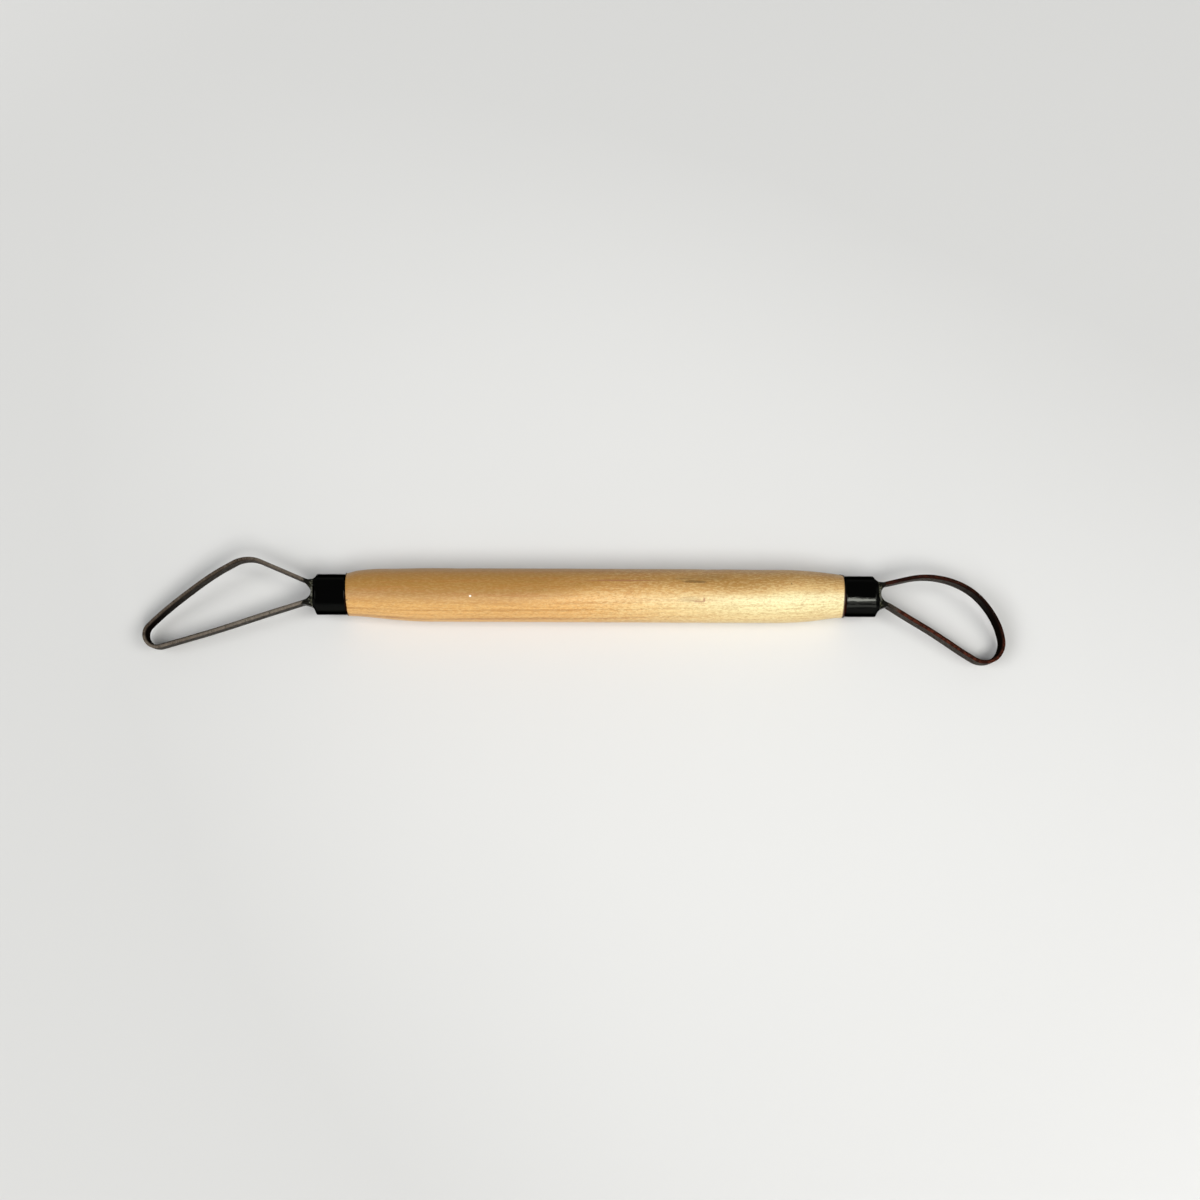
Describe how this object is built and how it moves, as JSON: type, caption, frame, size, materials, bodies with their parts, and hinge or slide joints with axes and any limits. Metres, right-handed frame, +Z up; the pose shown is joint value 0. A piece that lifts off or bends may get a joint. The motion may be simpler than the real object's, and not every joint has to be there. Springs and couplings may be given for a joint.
{
  "type": "ribbon tool",
  "caption": "Double-ended ribbon tool: a turned wooden grip with an angled and a curved loop of flat steel ribbon, for trimming clay.",
  "frame": {"origin": "on the surface that the tool lies on, under the middle of its overall box", "axes": "+X along the tool, from the angled loop to the curved loop; +Z up from the surface; the loops' lower tips lie towards -Y"},
  "size_m": [0.2022, 0.0248, 0.0127],
  "materials": {
    "grip_wood": "lacquered pale hardwood, satin",
    "ribbon_steel": "dark rolled steel with a brown bloom, satin",
    "sleeve_black": "glossy black",
    "nose_resin": "dark olive cast resin, glossy"
  },
  "bodies": {
    "root": {"wooden_grip": "grip_wood", "angled_loop": "ribbon_steel", "curved_loop": "ribbon_steel", "angled_end_sleeve": "sleeve_black", "curved_end_sleeve": "sleeve_black", "angled_end_resin": "nose_resin", "curved_end_resin": "nose_resin"}
  },
  "joints": []
}
